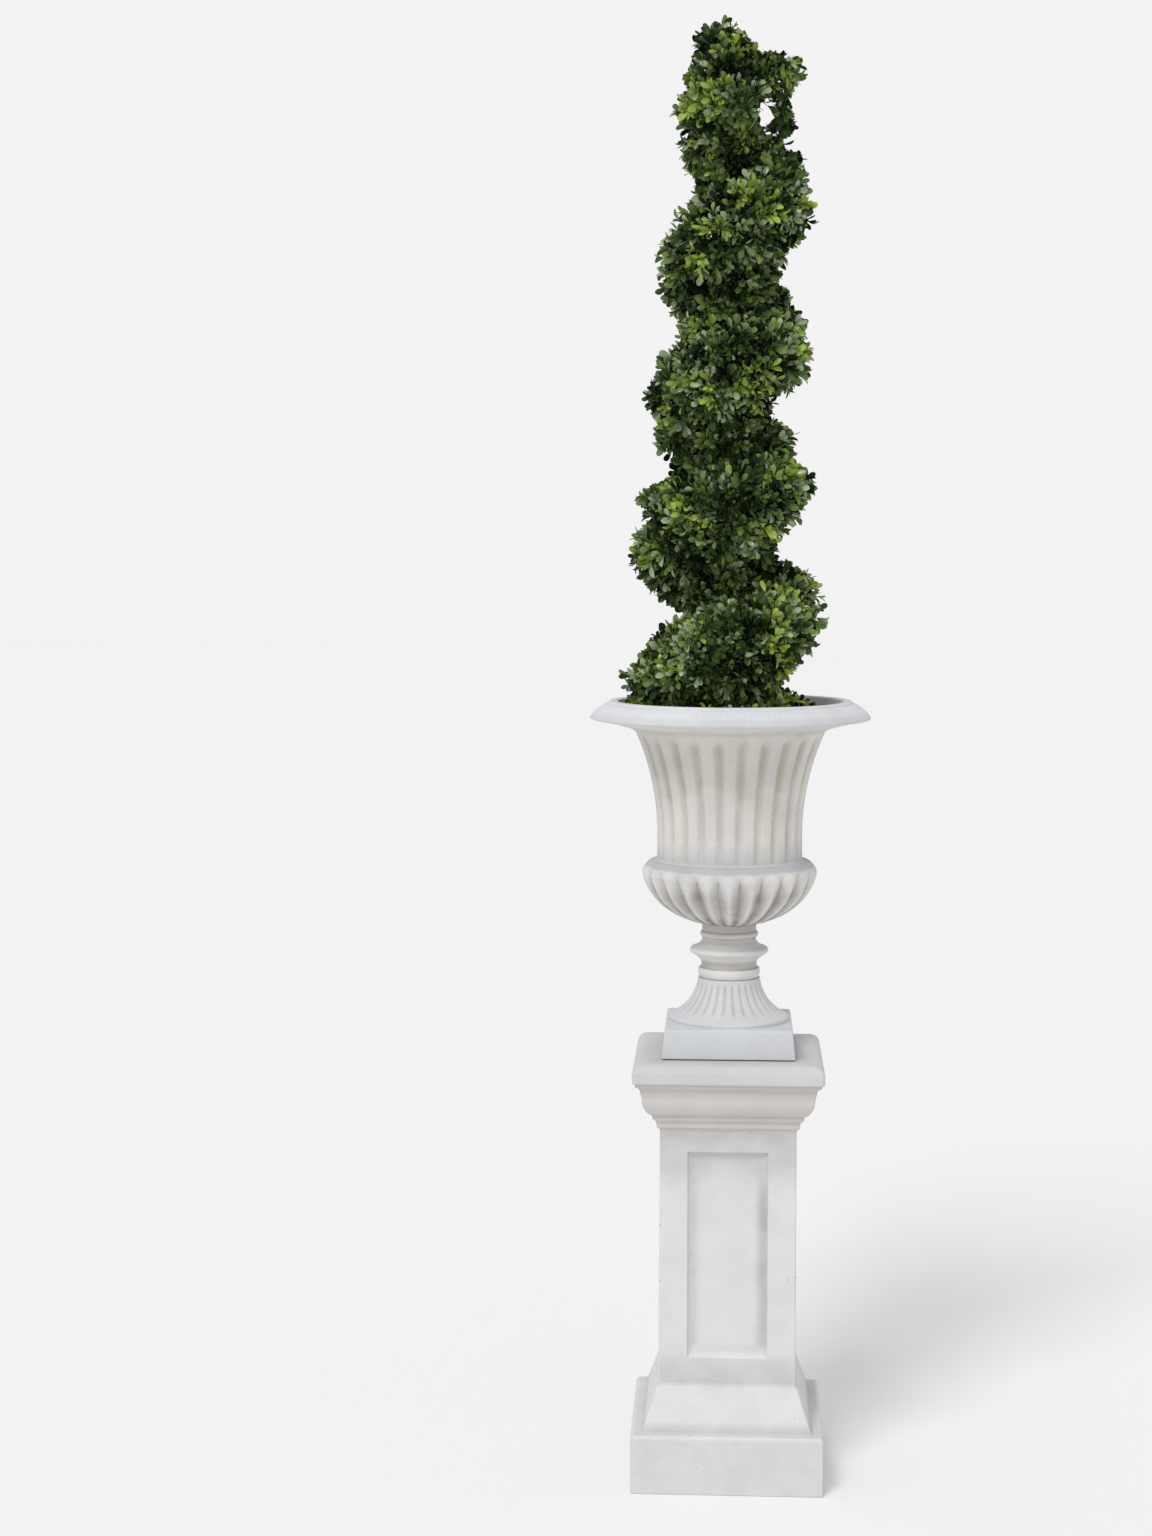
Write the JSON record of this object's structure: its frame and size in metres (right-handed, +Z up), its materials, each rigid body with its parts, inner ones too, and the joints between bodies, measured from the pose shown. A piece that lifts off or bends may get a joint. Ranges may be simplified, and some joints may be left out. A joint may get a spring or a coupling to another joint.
{
  "type": "artificial spiral topiary in a pedestal urn",
  "caption": "Tall spiral of small-leaved foliage on a slim trunk, planted in a fluted campana urn with a gadrooned bowl and spreading rim, on a square panelled pedestal.",
  "frame": {"origin": "on the floor under the middle of the pedestal and of the urn's rim", "axes": "+Z up along the urn's axis, -Y out of the pedestal's front panel, +X to the viewer's right when facing the front"},
  "size_m": [0.5, 0.5, 2.5847],
  "materials": {
    "cast": "matte",
    "fill": "matte",
    "bark": "matte",
    "foliage": "matte"
  },
  "bodies": {
    "root": {"pedestal_base": "cast", "pedestal_shaft": "cast", "pedestal_cornice": "cast", "pedestal_cap": "cast", "urn_plinth": "cast", "urn_foot": "cast", "urn_stem": "cast", "urn_bowl": "cast", "urn_bell": "cast", "urn_rim": "cast", "planting_fill": "fill", "trunk": "bark", "foliage_01": "foliage", "foliage_02": "foliage", "foliage_03": "foliage", "foliage_04": "foliage", "foliage_05": "foliage", "foliage_06": "foliage", "foliage_07": "foliage", "foliage_08": "foliage", "foliage_09": "foliage", "foliage_10": "foliage", "foliage_11": "foliage", "foliage_12": "foliage", "foliage_13": "foliage", "foliage_14": "foliage", "foliage_15": "foliage", "foliage_corner": "foliage", "foliage_tip": "foliage"}
  },
  "joints": []
}
